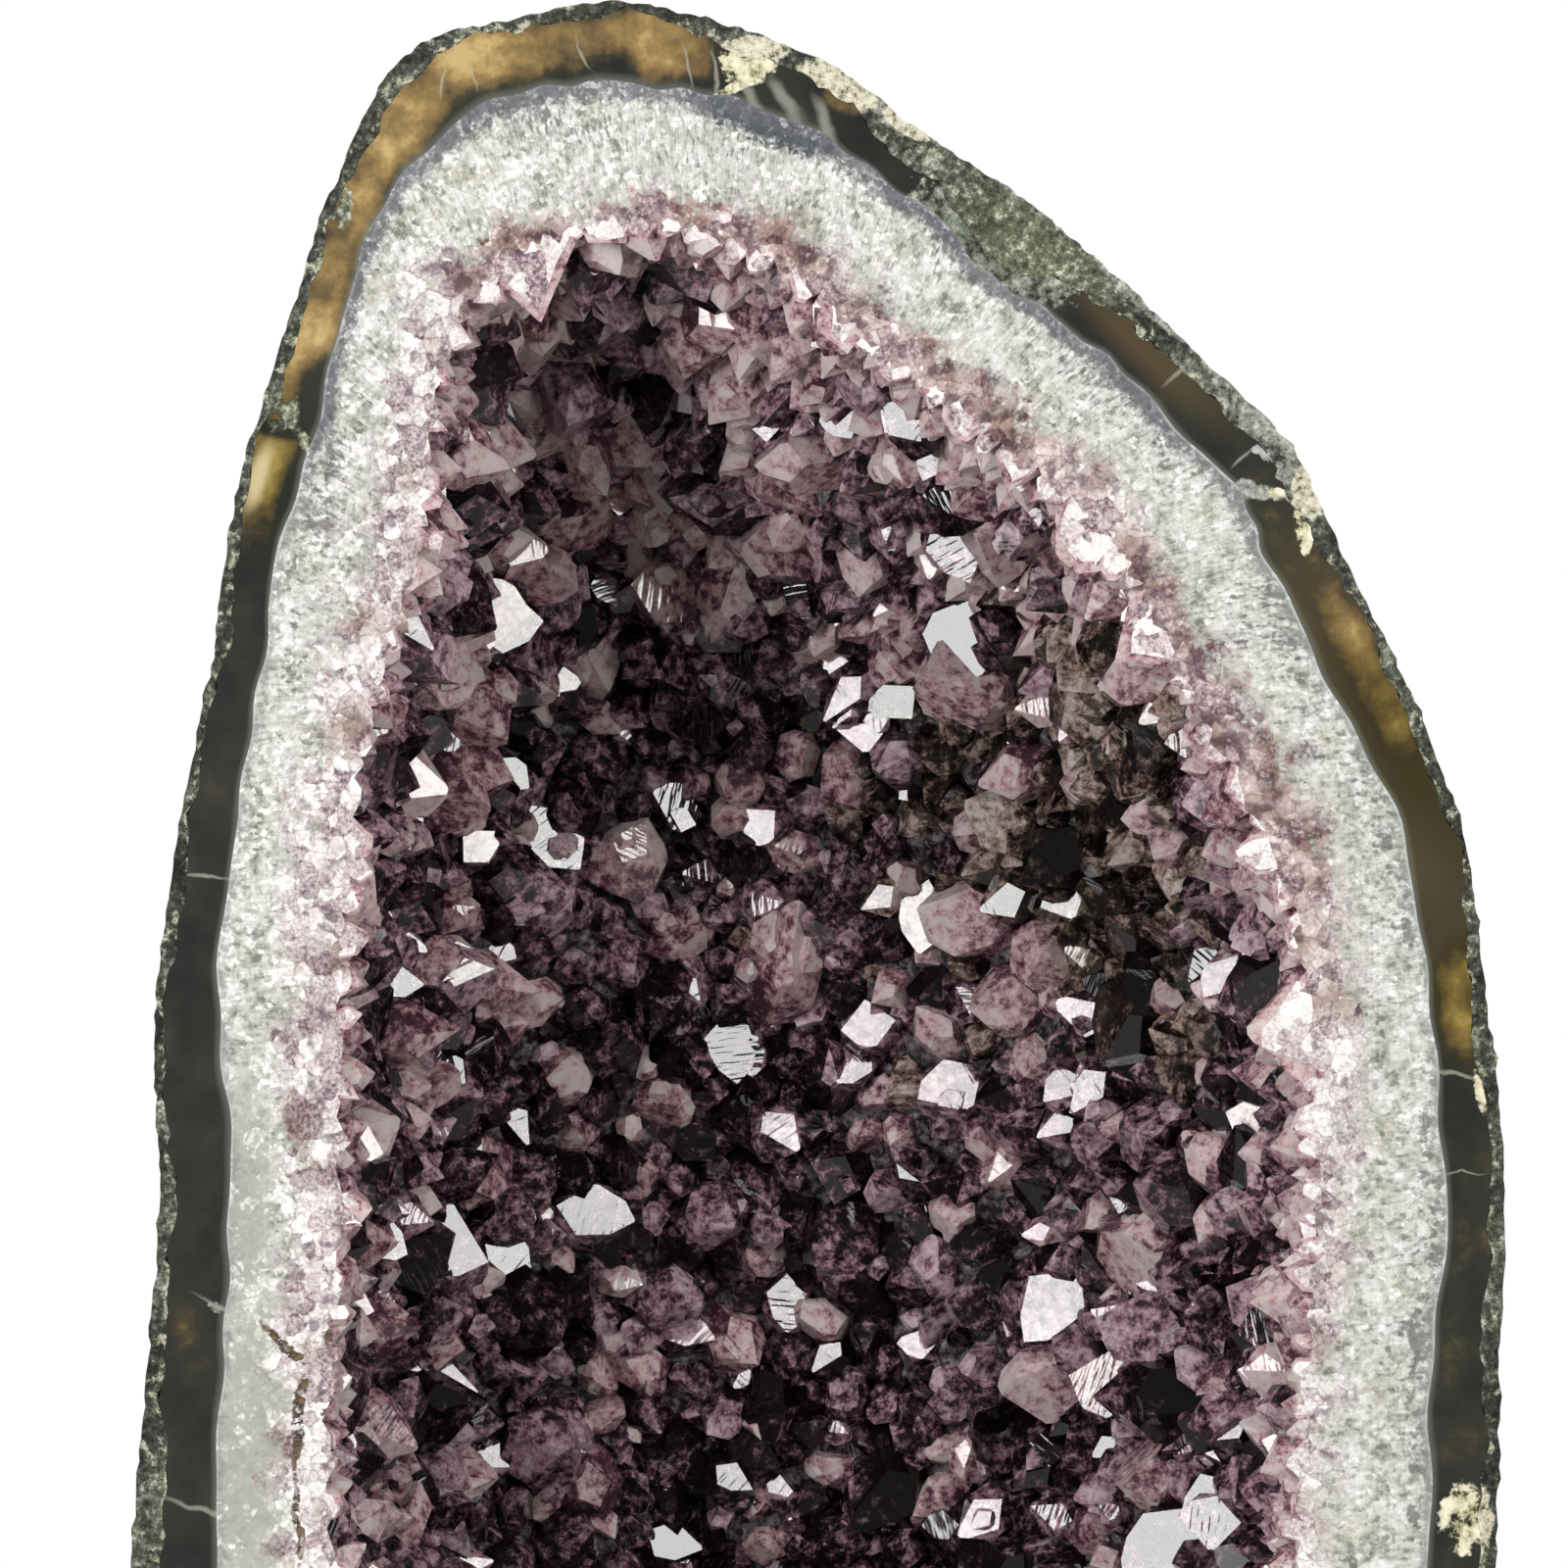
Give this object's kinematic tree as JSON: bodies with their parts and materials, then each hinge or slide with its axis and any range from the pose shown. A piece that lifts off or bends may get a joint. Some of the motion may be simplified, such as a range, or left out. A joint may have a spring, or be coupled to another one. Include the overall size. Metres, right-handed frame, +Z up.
{
  "type": "amethyst cathedral geode",
  "caption": "Tall hollow stone, sawn open down its front and flat below: a rough rind, a dark agate band and milky quartz around a deep hollow lined with amethyst points.",
  "frame": {"origin": "on the sawn foot, under the centre of the stone's box", "axes": "+Z up along the stone's height, +Y from the sawn front towards the back, +X to the right seen from the front"},
  "size_m": [0.3018, 0.1914, 0.48],
  "materials": {
    "basalt": "rough, as broken out of the lava",
    "agate": "sawn and polished",
    "quartz": "sawn and polished",
    "amethyst": "natural crystal faces, glossy"
  },
  "bodies": {
    "root": {"basalt_rind": "basalt", "agate_band": "agate", "quartz_layer": "quartz", "amethyst_crust": "amethyst"}
  },
  "joints": []
}
